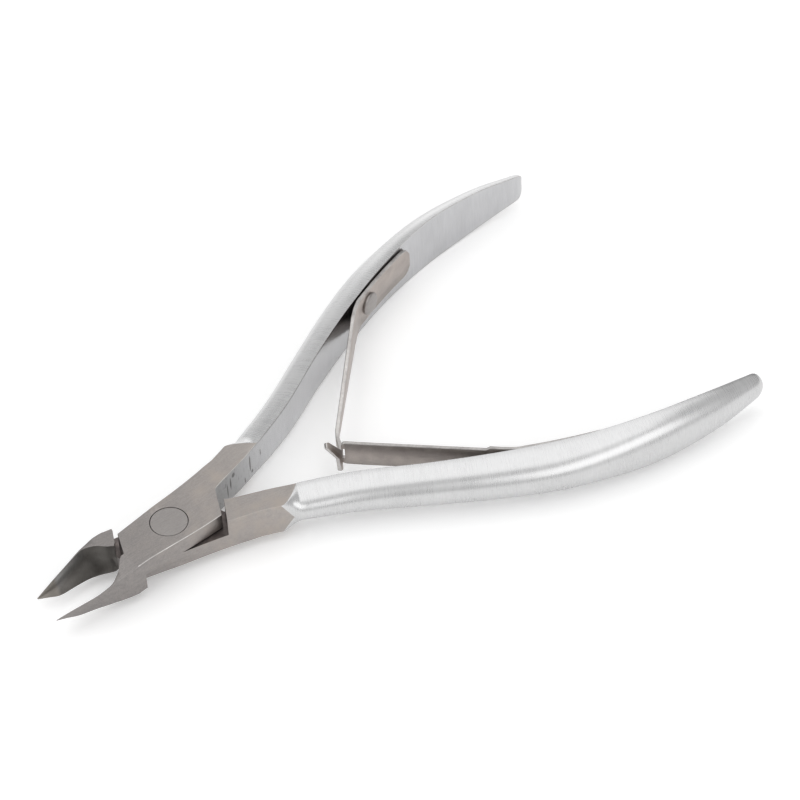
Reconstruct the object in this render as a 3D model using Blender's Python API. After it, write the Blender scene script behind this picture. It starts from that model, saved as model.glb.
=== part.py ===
# Cuticle nipper: two levers crossed in a half-lap joint, a flush pivot rivet, and two riveted leaf
# springs that hook into each other and push the handles apart. It is modelled half open, at rest.
# The origin is where the pivot axis meets the joint's lower ground face. +X runs along the centreline
# towards the handle ends, +Y is the side of the upper lever's handle, +Z is the pivot axis.
# Both levers are drawn closed, about the joint's middle plane, and each is then turned open.

import math

import bmesh
import bpy
from mathutils import Matrix, Vector

MM = 0.001

HALF_OPENING = math.radians(6.47)
JOINT_THICKNESS = 5.0 * MM
LAP_GAP = 0.2 * MM
HALF_THICKNESS = JOINT_THICKNESS / MM / 2
MIDDLE = Vector((0.0, 0.0, JOINT_THICKNESS / 2))

PIVOT_HEAD_RADIUS = 2.5 * MM
PIVOT_SHANK_RADIUS = 1.7 * MM
PIVOT_HEAD_DEPTH = 0.9 * MM
PIVOT_RIM = 0.3 * MM
PIVOT_GAP = 0.1 * MM

# Joint outline, closed: the side away from the handle, and the side that runs into the handle's back.
NEAR_SIDE = ((-7.9, -3.33), (-6.2, -3.3), (-3.0, -3.5), (0.0, -3.74), (3.0, -3.9), (5.75, -3.97))
FAR_SIDE = ((-6.2, 3.1), (-3.0, 3.36), (0.0, 3.62), (3.0, 3.78), (6.0, 4.0), (8.2, 4.24), (9.6, 4.44))
PLATE_FRONT = (-7.8, -0.15)
CROTCH = ((8.0, 0.0), (9.6, 0.65))
JAW_BACK = ((-6.9, -2.9), (-7.6, -0.83), (-7.9, -0.42))
SHOULDER = ((6.55, 4.1), (8.2, -0.2))
INNER_CORNER = (8.6, -1.2)
LAP_REACH = 8.0

# Jaw stations: along, outer side at the top and bottom, hollow's top rim and cutting edge, top, bottom.
JAW = (
    (-8.3, 3.35, 3.33, 0.20, 0.04, 2.38, -2.50),
    (-9.3, 3.20, 3.10, 1.02, 0.26, 2.12, -2.50),
    (-10.0, 3.06, 2.90, 1.68, 0.44, 1.93, -2.49),
    (-10.8, 2.88, 2.65, 2.12, 0.56, 1.70, -2.49),
    (-11.6, 2.74, 2.35, 2.44, 0.62, 1.44, -2.48),
    (-12.4, 2.60, 2.10, 2.40, 0.58, 1.10, -2.47),
    (-14.0, 2.15, 1.52, 1.99, 0.36, 0.43, -2.46),
    (-16.4, 1.32, 0.78, 1.20, 0.02, -0.30, -2.45),
    (-18.0, 0.74, 0.42, 0.66, 0.05, -0.80, -1.95),
    (-19.5, 0.20, 0.17, 0.17, 0.10, -1.33, -1.47),
)
HOLLOW_DEPTH = 0.35
HOLLOW_FULL_WIDTH = 1.2
LOWER_JAW_TOP = 2.0
RIM_SLOPE = 0.85

# Handle, closed: the flat inner face in plan, and the half width and depth of the D-shaped section.
FACE = (
    (9.6, 0.65),
    (12.0, 1.2),
    (15.1, 1.95),
    (24.8, 5.05),
    (34.6, 9.4),
    (44.4, 13.2),
    (54.1, 16.1),
    (63.5, 17.75),
    (72.9, 17.8),
    (80.2, 17.15),
    (82.4, 16.93),
)
HALF_WIDTH = (
    (12.0, 2.5),
    (16.5, 2.52),
    (24.8, 2.87),
    (34.6, 3.19),
    (44.4, 3.49),
    (54.1, 3.77),
    (63.5, 4.12),
    (72.9, 3.47),
    (80.2, 2.35),
    (82.4, 2.0),
)
DEPTH = (
    (12.0, 3.5),
    (16.0, 3.62),
    (18.5, 3.85),
    (24.7, 3.9),
    (33.2, 3.85),
    (41.6, 4.2),
    (50.0, 4.5),
    (58.3, 4.05),
    (66.4, 3.4),
    (74.4, 2.7),
    (82.4, 1.6),
)
HANDLE_START = 12.0
HANDLE_END = 82.0
END_ROUNDING = 1.6
FLATS_START = 14.95
TOP_FLAT_END = 17.6
SIDE_FLAT_END = 16.5
EDGE_RADIUS = 0.15
ARC_STEPS = 5
FAR_POINTS = 2 * (ARC_STEPS + 1)
HANDLE_STEPS = 26

# Leaf springs: thin strips that stand on edge, with their roots riveted to the handles' inner faces.
LEAF_THICKNESS = 0.6 * MM
LEAF_STANDOFF = 0.3 * MM
LEAF_ROOT_START = 59.0
LEAF_ROOT_END = 45.6
LEAF_RIVET_AT = 47.6
LEAF_ROOT_WIDTH = 4.8 * MM
LEAF_ROOT_RISE = 1.0 * MM
UPPER_HINGE = Vector((42.6, 17.4)) * MM
NECK_POINTS = ((28.0, 1.3), (27.3, 0.2), (26.9, -0.85), (26.62, -1.5), (26.25, -1.85))
UPPER_NECK = [Vector(point) * MM for point in NECK_POINTS]
UPPER_HEAD = [Vector(point) * MM for point in ((26.05, -1.96), (25.9, -2.07), (25.42, -2.42))]
UPPER_ARM_WIDTH = 4.6 * MM
NECK_WIDTH = 1.5 * MM
HEAD_LENGTH = 5.4 * MM
HEAD_SHARES = (0.9, 1.0, 0.86)
HEAD_TWISTS = (math.radians(45), math.radians(4))
LOWER_HINGE = Vector((42.6, -17.4)) * MM
LOWER_END = Vector((26.58, -1.68)) * MM
LOWER_ARM_WIDTH = 4.0 * MM
NOTCH_WIDTH = 2.2 * MM
NOTCH_DEPTH = 0.9 * MM
ARM_STEPS = 5

RIVET_HEAD_RADIUS = 1.6 * MM
RIVET_HEAD_HEIGHT = 0.7 * MM
RIVET_SHANK_RADIUS = 0.75 * MM
RIVET_SHANK_LENGTH = 2.2 * MM
RIVET_GAP = 0.1 * MM


def clear_scene():
    for obj in list(bpy.data.objects):
        bpy.data.objects.remove(obj, do_unlink=True)


def metal(name, colour, roughness):
    material = bpy.data.materials.new(name)
    material.use_nodes = True
    shader = material.node_tree.nodes["Principled BSDF"]
    shader.inputs["Base Color"].default_value = (*colour, 1.0)
    shader.inputs["Metallic"].default_value = 1.0
    shader.inputs["Roughness"].default_value = roughness
    return material


def curve_through(points, x):
    """Height at x of a smooth curve through the points, each with the slope of its neighbours' chord."""
    points = sorted(points)
    x = min(max(x, points[0][0]), points[-1][0])
    i = max(j for j in range(len(points) - 1) if points[j][0] <= x)

    def slope(j):
        before = points[max(j - 1, 0)]
        after = points[min(j + 1, len(points) - 1)]
        return (after[1] - before[1]) / (after[0] - before[0])

    (x0, y0), (x1, y1) = points[i], points[i + 1]
    span = x1 - x0
    t = (x - x0) / span
    start = (1 + 2 * t) * (1 - t) ** 2 * y0 + t * (1 - t) ** 2 * span * slope(i)
    end = t * t * (3 - 2 * t) * y1 + t * t * (t - 1) * span * slope(i + 1)
    return start + end


def face_frame(x):
    """Point on the handle's closed inner face at x, and the outward direction there, in the plan view."""
    step = 0.5
    rise = curve_through(FACE, x + step) - curve_through(FACE, x - step)
    run = min(x + step, FACE[-1][0]) - max(x - step, FACE[0][0])
    along = Vector((run, rise)).normalized()
    return Vector((x, curve_through(FACE, x))), Vector((-along.y, along.x))


def share(x, start, end):
    """How far x is from start to end, from 0 to 1."""
    return min(max((x - start) / (end - start), 0.0), 1.0)


def add_object(name, bm, material, origin=Vector((0.0, 0.0, 0.0)), turn=0.0):
    """New object from a mesh drawn about its own origin, placed and turned about Z."""
    bmesh.ops.recalc_face_normals(bm, faces=bm.faces)
    mesh = bpy.data.meshes.new(name)
    bm.to_mesh(mesh)
    bm.free()
    mesh.shade_smooth()
    mesh.set_sharp_from_angle(angle=math.radians(30))
    mesh.materials.append(material)
    obj = bpy.data.objects.new(name, mesh)
    obj.location = origin
    obj.rotation_euler.z = turn
    bpy.context.scene.collection.objects.link(obj)
    return obj


def loft(rings):
    """Closed skin over rings that have the same number of points."""
    bm = bmesh.new()
    loops = [[bm.verts.new(point) for point in ring] for ring in rings]
    count = len(rings[0])
    for near, far in zip(loops, loops[1:]):
        for i in range(count):
            j = (i + 1) % count
            bm.faces.new((near[i], near[j], far[j], far[i]))
    bm.faces.new(loops[0])
    bm.faces.new(loops[-1])
    bmesh.ops.remove_doubles(bm, verts=bm.verts, dist=1e-6)
    return bm


def prism(outline, low, high):
    """Upright solid over a plan outline."""
    bm = bmesh.new()
    floor = bm.faces.new([bm.verts.new((x, y, low)) for x, y in outline])
    raised = bmesh.ops.extrude_face_region(bm, geom=[floor])["geom"]
    top = [item for item in raised if isinstance(item, bmesh.types.BMVert)]
    bmesh.ops.translate(bm, verts=top, vec=(0, 0, high - low))
    return bm


def turned(profile, steps=48):
    """Solid of revolution about Z from (radius, height) points that start and end on the axis."""
    bm = bmesh.new()
    points = [bm.verts.new((radius, 0, height)) for radius, height in profile]
    edges = [bm.edges.new(pair) for pair in zip(points, points[1:])]
    bmesh.ops.spin(bm, geom=points + edges, cent=(0, 0, 0), axis=(0, 0, 1), angle=math.tau, steps=steps)
    bmesh.ops.remove_doubles(bm, verts=bm.verts, dist=1e-7)
    return bm


def cut(target, cutter):
    """Takes the cutter's shape out of the target, and keeps the cutter out of the model."""
    cutter.hide_render = True
    cutter.display_type = "WIRE"
    modifier = target.modifiers.new(cutter.name, "BOOLEAN")
    modifier.operation = "DIFFERENCE"
    modifier.solver = "EXACT"
    modifier.object = cutter


def jaw_ring(x, outer, foot, rim, cutting, top, bottom, ceiling):
    """Jaw section: flat outside, with a hollow ground from the top rim down to the cutting edge."""
    drop = max(top - ceiling, 0.0)
    top -= drop
    rim += drop * RIM_SLOPE
    ring = [Vector((x, -foot, bottom)), Vector((x, -outer, top))]
    for i in range(FAR_POINTS):
        t = i / (FAR_POINTS - 1)
        hollow = HOLLOW_DEPTH * math.sin(math.pi * t) * share(rim, cutting, cutting + HOLLOW_FULL_WIDTH)
        ring.append(Vector((x, -(rim + (cutting - rim) * t + hollow), top + (bottom - top) * t)))
    return ring


def block_ring(near, far, top=HALF_THICKNESS):
    """Joint section: a plain upright rectangle between a point on each side."""
    ring = [Vector((*near, -HALF_THICKNESS)), Vector((*near, top))]
    for i in range(FAR_POINTS):
        ring.append(Vector((*far, top - (top + HALF_THICKNESS) * i / (FAR_POINTS - 1))))
    return ring


def front_rings(ceiling):
    """Rings from the jaw tip to the start of the handle, with the jaw no higher than the ceiling."""
    rings = [jaw_ring(*station, ceiling) for station in reversed(JAW)]
    rings.append(block_ring(NEAR_SIDE[0], PLATE_FRONT, ceiling))
    rings.append(block_ring(NEAR_SIDE[1], FAR_SIDE[0], ceiling))
    for x, y in NEAR_SIDE[2:]:
        rings.append(block_ring((x, y), (x, curve_through(FAR_SIDE, x))))
    for near, far in zip(CROTCH, FAR_SIDE[-2:]):
        rings.append(block_ring(near, far))
    return rings


def handle_ring(x):
    """D-shaped section: flat inside, square-cornered at the joint and fully rounded outside further on."""
    point, outward = face_frame(x)
    ending = math.sqrt(1 - share(x, HANDLE_END - END_ROUNDING, HANDLE_END + 0.1) ** 2)
    half = curve_through(HALF_WIDTH, x) * ending
    depth = curve_through(DEPTH, x) * ending
    inset = (curve_through(DEPTH, x) - depth) / 2
    round_in = max(depth * share(x, FLATS_START, TOP_FLAT_END) ** 1.5, EDGE_RADIUS)
    round_up = max(half * share(x, FLATS_START, SIDE_FLAT_END), EDGE_RADIUS)
    arc = []
    for i in range(ARC_STEPS + 1):
        angle = math.radians(90) * i / ARC_STEPS
        arc.append((depth - round_in * (1 - math.sin(angle)), half - round_up * (1 - math.cos(angle))))
    back = arc + [(away, -height) for away, height in reversed(arc)]
    ring = [(0.0, -half), (0.0, half)] + back
    return [Vector((*(point + outward * (away + inset)), height)) for away, height in ring]


def handle_rings():
    """Rings from the joint to the handle's rounded end, closer together where the section changes."""
    stations = [HANDLE_START + (FLATS_START - HANDLE_START) * i / 2 for i in range(3)]
    stations += [FLATS_START + (TOP_FLAT_END - FLATS_START) * i / 5 for i in range(1, 6)]
    straight = HANDLE_END - END_ROUNDING - TOP_FLAT_END
    stations += [TOP_FLAT_END + straight * i / HANDLE_STEPS for i in range(1, HANDLE_STEPS + 1)]
    stations += [HANDLE_END - END_ROUNDING * left for left in (0.65, 0.35, 0.15, 0.04, 0.0)]
    return [handle_ring(x) for x in stations]


def lever_outline(side):
    """The whole lever at full thickness, closed, about the joint's middle. side is +1 for the upper lever."""
    rings = front_rings(HALF_THICKNESS if side > 0 else LOWER_JAW_TOP) + handle_rings()
    placed = [[Vector((p.x, p.y * side, p.z)) * MM for p in ring] for ring in rings]
    return loft(placed)


def lap_cutter(side, turn):
    """The room that the other lever's plate takes: below the upper lever's plate, above the lower one's."""
    outline = [(JAW_BACK[0][0], -LAP_REACH), *JAW_BACK, (JAW_BACK[-1][0], LAP_REACH)]
    outline += [(SHOULDER[0][0], LAP_REACH), *SHOULDER, INNER_CORNER, (INNER_CORNER[0], -LAP_REACH)]
    plan = [(x * MM, y * side * MM) for x, y in outline]
    low, high = sorted((LAP_GAP / 2 * side, -JOINT_THICKNESS * side))
    name = "upper_lap_cutter" if side > 0 else "lower_lap_cutter"
    return add_object(name, prism(plan, low, high), steel, MIDDLE, turn)


def pivot_profile(gap):
    """Half section of the pivot rivet, with its heads flush in their countersinks, grown by the gap."""
    half = JOINT_THICKNESS / 2 + gap * 5
    head = PIVOT_HEAD_RADIUS + gap
    shank = PIVOT_SHANK_RADIUS + gap
    inner = JOINT_THICKNESS / 2 - PIVOT_HEAD_DEPTH
    rim = JOINT_THICKNESS / 2 - PIVOT_RIM
    upper = [(0, half), (head, half), (head, rim), (shank, inner)]
    return upper + [(radius, -height) for radius, height in reversed(upper)]


def leaf_rivet_frame(side, turn):
    """Where a leaf's rivet stands on the handle's inner face, and its axis, pointing into the handle."""
    point, outward = face_frame(LEAF_RIVET_AT)
    at = Vector((point.x, point.y * side, LEAF_ROOT_RISE / MM)) * MM
    into = Vector((outward.x, outward.y * side, 0.0))
    spin = Matrix.Rotation(turn, 3, "Z")
    return spin @ at + MIDDLE, spin @ into


def along_axis(obj, point, direction):
    """Stands an object drawn along +Z at a point, with its Z along the direction."""
    obj.location = point
    obj.rotation_euler = direction.to_track_quat("Z", "Y").to_euler()


def rivet_hole(name, side, turn):
    reach = RIVET_SHANK_LENGTH + RIVET_GAP
    radius = RIVET_SHANK_RADIUS + RIVET_GAP
    start = -2.0 * MM
    cutter = add_object(name, turned([(0, start), (radius, start), (radius, reach), (0, reach)], 16), steel)
    along_axis(cutter, *leaf_rivet_frame(side, turn))
    return cutter


def make_lever(name, side):
    turn = HALF_OPENING * side
    lever = add_object(name, lever_outline(side), steel, MIDDLE, turn)
    cut(lever, lap_cutter(side, turn))
    cut(lever, add_object(name + "_bore", turned(pivot_profile(PIVOT_GAP)), steel, MIDDLE))
    cut(lever, rivet_hole(name + "_rivet_hole", side, turn))
    return lever


def root_path(side):
    """Leaf centreline along the handle's inner face, from the rounded end to where it bends away."""
    turn = Matrix.Rotation(HALF_OPENING * side, 2)
    lift = LEAF_STANDOFF + LEAF_THICKNESS / 2
    path = []
    for i in range(8):
        point, outward = face_frame(LEAF_ROOT_START + (LEAF_ROOT_END - LEAF_ROOT_START) * i / 7)
        closed = point * MM - outward * lift
        path.append(turn @ Vector((closed.x, closed.y * side)))
    return path


def bend(start, corner, end, steps=5):
    """Quadratic curve that rounds a corner, without its end points."""
    points = []
    for i in range(1, steps):
        t = i / steps
        points.append(start.lerp(corner, t).lerp(corner.lerp(end, t), t))
    return points


def ribbon(path, rises, widths, twists):
    """Strip on edge along a plan path, with a rise, a width and a twist of each half at each point."""
    rings = []
    for i, point in enumerate(path):
        along = (path[min(i + 1, len(path) - 1)] - path[max(i - 1, 0)]).normalized()
        across = Vector((-along.y, along.x, 0.0))
        ring = []
        for end, twist in zip((1, -1), twists[i]):
            turn = Matrix.Rotation(twist, 3, Vector((*along, 0.0)))
            edge = Vector((*point, rises[i])) + turn @ Vector((0.0, 0.0, end * widths[i] / 2))
            thick = turn @ across * (LEAF_THICKNESS / 2)
            ring += [edge - thick * end, edge + thick * end]
            ring.append(Vector((*point, rises[i])) + across * (LEAF_THICKNESS / 2 * end))
        rings.append(ring)
    return loft(rings)


def root_widths(count):
    """Widths of the root, rounded at its free end."""
    rounded = (0.45, 0.85, 1.0)
    shares = rounded + (1.0,) * (count - len(rounded))
    return [LEAF_ROOT_WIDTH * part for part in shares]


def straight_arm(hinge, end):
    """Arm of a leaf, from where its bend stops to its end."""
    return [hinge.lerp(end, 0.12 + 0.88 * i / ARM_STEPS) for i in range(ARM_STEPS + 1)]


def make_leaf(name, side, hinge, arm, arm_widths, arm_twists):
    """One leaf: its root on the handle, a bend where it leaves it, and its arm."""
    root = root_path(side)
    rounding = bend(root[-1], hinge, arm[0])
    reach = (arm[-1] - arm[0]).length * 0.9
    widths = root_widths(len(root)) + [LEAF_ROOT_WIDTH] * len(rounding) + arm_widths
    twists = [(0.0, 0.0)] * (len(root) + len(rounding)) + arm_twists
    local = [point - hinge for point in root + rounding + arm]
    rises = [LEAF_ROOT_RISE] * (len(root) + len(rounding))
    rises += [LEAF_ROOT_RISE * (1 - share((point - arm[0]).length, 0.0, reach)) for point in arm]
    origin = Vector((*hinge, 0.0)) + MIDDLE
    leaf = add_object(name, ribbon(local, rises, widths, twists), spring_steel, origin)
    cut(leaf, rivet_hole(name + "_rivet_hole", side, HALF_OPENING * side))
    return leaf


def make_upper_leaf():
    """The leaf with the T-shaped head: its arm narrows to a neck, and the head twists to lock."""
    arm = straight_arm(UPPER_HINGE, UPPER_NECK[0])
    widths = [UPPER_ARM_WIDTH + (NECK_WIDTH - UPPER_ARM_WIDTH) * i / ARM_STEPS for i in range(len(arm))]
    arm += UPPER_NECK[1:] + UPPER_HEAD
    widths += [NECK_WIDTH] * (len(UPPER_NECK) - 1) + [HEAD_LENGTH * part for part in HEAD_SHARES]
    twists = [(0.0, 0.0)] * (len(arm) - len(UPPER_HEAD)) + [HEAD_TWISTS] * len(UPPER_HEAD)
    return make_leaf("upper_leaf_spring", 1, UPPER_HINGE, arm, widths, twists)


def make_lower_leaf():
    """The leaf with the notched end, which takes the upper leaf's neck."""
    arm = straight_arm(LOWER_HINGE, LOWER_END)
    arm.insert(-1, arm[-1].lerp(arm[-2], 0.12))
    widths = [LOWER_ARM_WIDTH] * (len(arm) - 1) + [LOWER_ARM_WIDTH * 0.8]
    leaf = make_leaf("lower_leaf_spring", -1, LOWER_HINGE, arm, widths, [(0.0, 0.0)] * len(arm))
    along = (LOWER_HINGE - LOWER_END).normalized()
    notch = [(-1.0 * MM, -1.5 * MM), (NOTCH_DEPTH, -1.5 * MM), (NOTCH_DEPTH, 1.5 * MM), (-1.0 * MM, 1.5 * MM)]
    cutter = prism(notch, -NOTCH_WIDTH / 2, NOTCH_WIDTH / 2)
    middle = Vector((*LOWER_END, 0.0)) + MIDDLE
    cut(leaf, add_object("leaf_notch_cutter", cutter, spring_steel, middle, math.atan2(along.y, along.x)))
    return leaf


def make_leaf_rivet(name, side):
    """Rivet with a low domed head on the leaf and a shank in the handle."""
    base = -(LEAF_STANDOFF + LEAF_THICKNESS + RIVET_GAP)
    top = base - RIVET_HEAD_HEIGHT
    profile = [(0, RIVET_SHANK_LENGTH), (RIVET_SHANK_RADIUS, RIVET_SHANK_LENGTH), (RIVET_SHANK_RADIUS, base)]
    profile += [(RIVET_HEAD_RADIUS, base), (RIVET_HEAD_RADIUS, base - RIVET_HEAD_HEIGHT * 0.4)]
    profile += [(RIVET_HEAD_RADIUS * 0.7, base - RIVET_HEAD_HEIGHT * 0.85), (0, top)]
    rivet = add_object(name, turned(profile, 24), rivet_steel)
    along_axis(rivet, *leaf_rivet_frame(side, HALF_OPENING * side))
    return rivet


clear_scene()
steel = metal("ground_steel", (0.60, 0.58, 0.56), 0.35)
spring_steel = metal("spring_steel", (0.52, 0.48, 0.45), 0.4)
rivet_steel = metal("rivet_steel", (0.58, 0.56, 0.54), 0.35)
make_lever("upper_lever", 1)
make_lever("lower_lever", -1)
add_object("pivot_rivet", turned(pivot_profile(0.0)), rivet_steel, MIDDLE)
make_upper_leaf()
make_lower_leaf()
make_leaf_rivet("upper_spring_rivet", 1)
make_leaf_rivet("lower_spring_rivet", -1)
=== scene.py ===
import math

import bmesh
import bpy
from mathutils import Matrix, Vector


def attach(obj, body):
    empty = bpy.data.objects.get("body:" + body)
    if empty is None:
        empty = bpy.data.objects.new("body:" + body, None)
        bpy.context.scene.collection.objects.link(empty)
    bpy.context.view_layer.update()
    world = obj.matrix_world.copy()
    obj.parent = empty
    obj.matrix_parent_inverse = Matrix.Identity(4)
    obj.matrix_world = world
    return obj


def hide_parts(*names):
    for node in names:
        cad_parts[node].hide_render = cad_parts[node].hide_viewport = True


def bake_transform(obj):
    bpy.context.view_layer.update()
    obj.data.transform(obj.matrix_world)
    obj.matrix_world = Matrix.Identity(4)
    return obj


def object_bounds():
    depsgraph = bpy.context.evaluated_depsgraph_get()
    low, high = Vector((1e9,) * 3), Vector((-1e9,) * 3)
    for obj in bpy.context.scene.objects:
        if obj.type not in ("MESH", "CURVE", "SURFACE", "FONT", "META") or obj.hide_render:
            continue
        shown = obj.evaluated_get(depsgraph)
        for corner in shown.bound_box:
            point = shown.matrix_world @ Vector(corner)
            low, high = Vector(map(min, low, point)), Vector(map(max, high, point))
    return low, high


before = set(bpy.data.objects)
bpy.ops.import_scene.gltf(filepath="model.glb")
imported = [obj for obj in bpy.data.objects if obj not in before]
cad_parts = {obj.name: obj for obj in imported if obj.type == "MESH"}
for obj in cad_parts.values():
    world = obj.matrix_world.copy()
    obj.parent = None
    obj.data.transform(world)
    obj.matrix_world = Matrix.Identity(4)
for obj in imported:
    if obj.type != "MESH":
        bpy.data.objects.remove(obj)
cadBounds = [list(corner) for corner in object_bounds()]
print("frame loaded")

mm = 0.001
midHeight = 2.5  # the lap joint's middle, above the lower ground face
mergeDistance = 1e-7


class Wire:
    # a socket that takes part in plain expressions; make() adds any other node
    def __init__(self, tree, socket=None):
        self.tree = tree
        self.socket = socket

    def make(self, kind, settings=None, values=None, output=0):
        node = self.tree.nodes.new(kind)
        for name, setting in (settings or {}).items():
            setattr(node, name, setting)
        for name, value in (values or {}).items():
            if isinstance(value, Wire):
                self.tree.links.new(value.socket, node.inputs[name])
            else:
                node.inputs[name].default_value = value
        return Wire(self.tree, node.outputs[output])

    def maths(self, operation, first, second):
        return self.make("ShaderNodeMath", {"operation": operation}, {0: first, 1: second})

    def __add__(self, other):
        return self.maths("ADD", self, other)

    def __radd__(self, other):
        return self.maths("ADD", other, self)

    def __sub__(self, other):
        return self.maths("SUBTRACT", self, other)

    def __rsub__(self, other):
        return self.maths("SUBTRACT", other, self)

    def __mul__(self, other):
        return self.maths("MULTIPLY", self, other)

    def __rmul__(self, other):
        return self.maths("MULTIPLY", other, self)

    def scaled(self, x, y, z):
        return self.make("ShaderNodeVectorMath", {"operation": "MULTIPLY"}, {0: self, 1: (x, y, z)})

    def facing(self, direction):
        # cosine of the angle to a direction
        unit = Vector(direction).normalized()
        return self.make("ShaderNodeVectorMath", {"operation": "DOT_PRODUCT"}, {0: self, 1: unit}, "Value")

    def noise(self, scale, detail=2.0, roughness=0.5):
        values = {"Vector": self, "Scale": scale, "Detail": detail, "Roughness": roughness}
        return self.make("ShaderNodeTexNoise", {}, values)

    def between(self, low, high):
        # 0 below low, 1 above high, straight between; low may be the larger one
        values = {"Value": self, "From Min": low, "From Max": high}
        return self.make("ShaderNodeMapRange", {"clamp": True}, values)

    def blend(self, first, second):
        # first where this is 0, second where it is 1 or more, for colours
        return self.make("ShaderNodeMix", {"data_type": "RGBA"}, {0: self, 6: first, 7: second}, 2)


def startMaterial(name):
    material = bpy.data.materials.new(name)
    material.use_nodes = True
    tree = material.node_tree
    shader = tree.nodes["Principled BSDF"]
    shader.inputs["Metallic"].default_value = 1.0
    return material, Wire(tree), shader


def finishMaterial(tools, shader, colour, rough, height, bumpDistance):
    tools.tree.links.new(colour.socket, shader.inputs["Base Color"])
    tools.tree.links.new(rough.socket, shader.inputs["Roughness"])
    bump = tools.make("ShaderNodeBump", {}, {"Height": height, "Distance": bumpDistance, "Strength": 1.0})
    tools.tree.links.new(bump.socket, shader.inputs["Normal"])


def place(tools):
    # object coordinates in mm
    return tools.make("ShaderNodeTexCoord", {}, {}, "Object").scaled(1000, 1000, 1000)


def along(tools):
    # mm along the handle and mm round its section
    return tools.make("ShaderNodeUVMap", {"uv_map": "grain"}, {}).scaled(1000, 1000, 0)


groundLook = {
    "light": (0.45, 0.415, 0.392, 1), "dark": (0.235, 0.222, 0.218, 1), "tint": (0.44, 0.39, 0.35, 1),
    "rough": 0.4, "bump": 0.000012, "jawX": -9.0, "handleX": 15.0,
}


def eastOf(spot):
    return spot.make("ShaderNodeSeparateXYZ", {}, {"Vector": spot})


def groundSteel():
    # bead-blasted, a little darker and cooler towards the jaws
    material, tools, shader = startMaterial("groundSteel")
    spot = place(tools)
    grit = spot.noise(4.5, 4.0, 0.75)
    cloud = spot.noise(0.35, 3.0, 0.55)
    strokes = spot.scaled(0.6, 6.0, 1.5).noise(1.0, 3.0, 0.6)
    handleward = eastOf(spot).between(groundLook["jawX"], groundLook["handleX"])
    shade = (grit - 0.5) * 0.9 + (strokes - 0.5) * 0.6 + handleward * 0.55 + 0.22
    colour = shade.blend(groundLook["dark"], groundLook["light"])
    colour = (cloud.between(0.45, 0.75) * handleward).blend(colour, groundLook["tint"])
    rough = groundLook["rough"] + (cloud - 0.5) * 0.12 + (grit - 0.5) * 0.16
    finishMaterial(tools, shader, colour, rough, grit + strokes * 0.6, groundLook["bump"])
    return material


# painted shade for the faces inside the lap
recessShadeLook = {"light": (0.23, 0.2, 0.19, 1), "dark": (0.1, 0.087, 0.085, 1), "rough": 0.45, "bump": 0.00001}


def recessShadeSteel():
    # the sawn and milled faces inside the lap, painted dark as the shade in the recess
    material, tools, shader = startMaterial("recessShadeSteel")
    spot = place(tools)
    grit = spot.noise(5.0, 3.0, 0.7)
    cloud = spot.noise(0.8, 3.0, 0.6)
    colour = cloud.between(0.3, 0.7).blend(recessShadeLook["dark"], recessShadeLook["light"])
    rough = recessShadeLook["rough"] + (grit - 0.5) * 0.15
    finishMaterial(tools, shader, colour, rough, grit, recessShadeLook["bump"])
    return material


# edges: rubbed wear plus a painted highlight, brighter than the ground faces
edgeWearAndHighlightLook = {"light": (0.70, 0.68, 0.66, 1), "dark": (0.42, 0.40, 0.39, 1), "rough": 0.34, "bump": 0.00001}


def edgeWearAndHighlightSteel():
    # corners that handling has rubbed bright in places, also painted brighter for the highlight that the
    # rounded edges catch
    material, tools, shader = startMaterial("edgeWearAndHighlightSteel")
    spot = place(tools)
    nicks = spot.noise(2.2, 4.0, 0.75)
    wear = spot.noise(0.5, 2.0, 0.5)
    shade = (nicks - 0.5) * 1.4 + (wear - 0.5) * 1.4 + 0.45
    colour = shade.blend(edgeWearAndHighlightLook["dark"], edgeWearAndHighlightLook["light"])
    rough = edgeWearAndHighlightLook["rough"] + (nicks - 0.5) * 0.2
    finishMaterial(tools, shader, colour, rough, nicks, edgeWearAndHighlightLook["bump"])
    return material


handleLook = {
    "light": (0.69, 0.69, 0.69, 1), "dark": (0.50, 0.50, 0.505, 1), "rough": 0.28, "bump": 0.0000055,
}


def handleSteel():
    # satin plating over fine grinding lines that run round the handle
    material, tools, shader = startMaterial("handleSteel")
    grain = along(tools)
    lines = grain.scaled(4.5, 0.22, 0).noise(1.0, 4.0, 0.7)
    fine = grain.scaled(11.0, 1.2, 0).noise(1.0, 2.0, 0.6)
    spot = place(tools)
    cloud = spot.noise(0.22, 2.0, 0.5)
    strength = spot.noise(0.12, 1.0, 0.5).between(0.35, 0.65)
    shade = (lines - 0.5) * 0.9 + (fine - 0.5) * 0.7 + (cloud - 0.5) * 0.5 + 0.55
    colour = shade.blend(handleLook["dark"], handleLook["light"])
    rough = handleLook["rough"] + (lines - 0.5) * 0.12 + (cloud - 0.5) * 0.08
    height = (lines + fine * 0.5) * (strength * 0.6 + 0.4)
    finishMaterial(tools, shader, colour, rough, height, handleLook["bump"])
    return material


innerLook = {
    "light": (0.58, 0.58, 0.59, 1), "dark": (0.45, 0.45, 0.46, 1),
    # the dark colour serves both the real marks and the painted shade under the top edge
    "root": (0.28, 0.276, 0.272, 1), "markAndCreaseShade": (0.13, 0.125, 0.12, 1), "rough": 0.2, "bump": 0.00001,
    "halfWidthAtJoint": 1.97, "widening": 0.0333,  # the face's half width, from the pivot outwards
    "scratches": (  # x, height, half width, half length in mm
        (15.75, 0.3, 0.16, 1.5), (16.1, -1.4, 0.22, 0.3), (12.1, 1.5, 0.35, 0.4), (11.4, 0.5, 0.14, 1.0),
        (10.7, -0.4, 0.12, 1.3), (14.4, -1.6, 0.12, 0.5), (18.2, 0.3, 0.08, 0.6),
    ),
}


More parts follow.
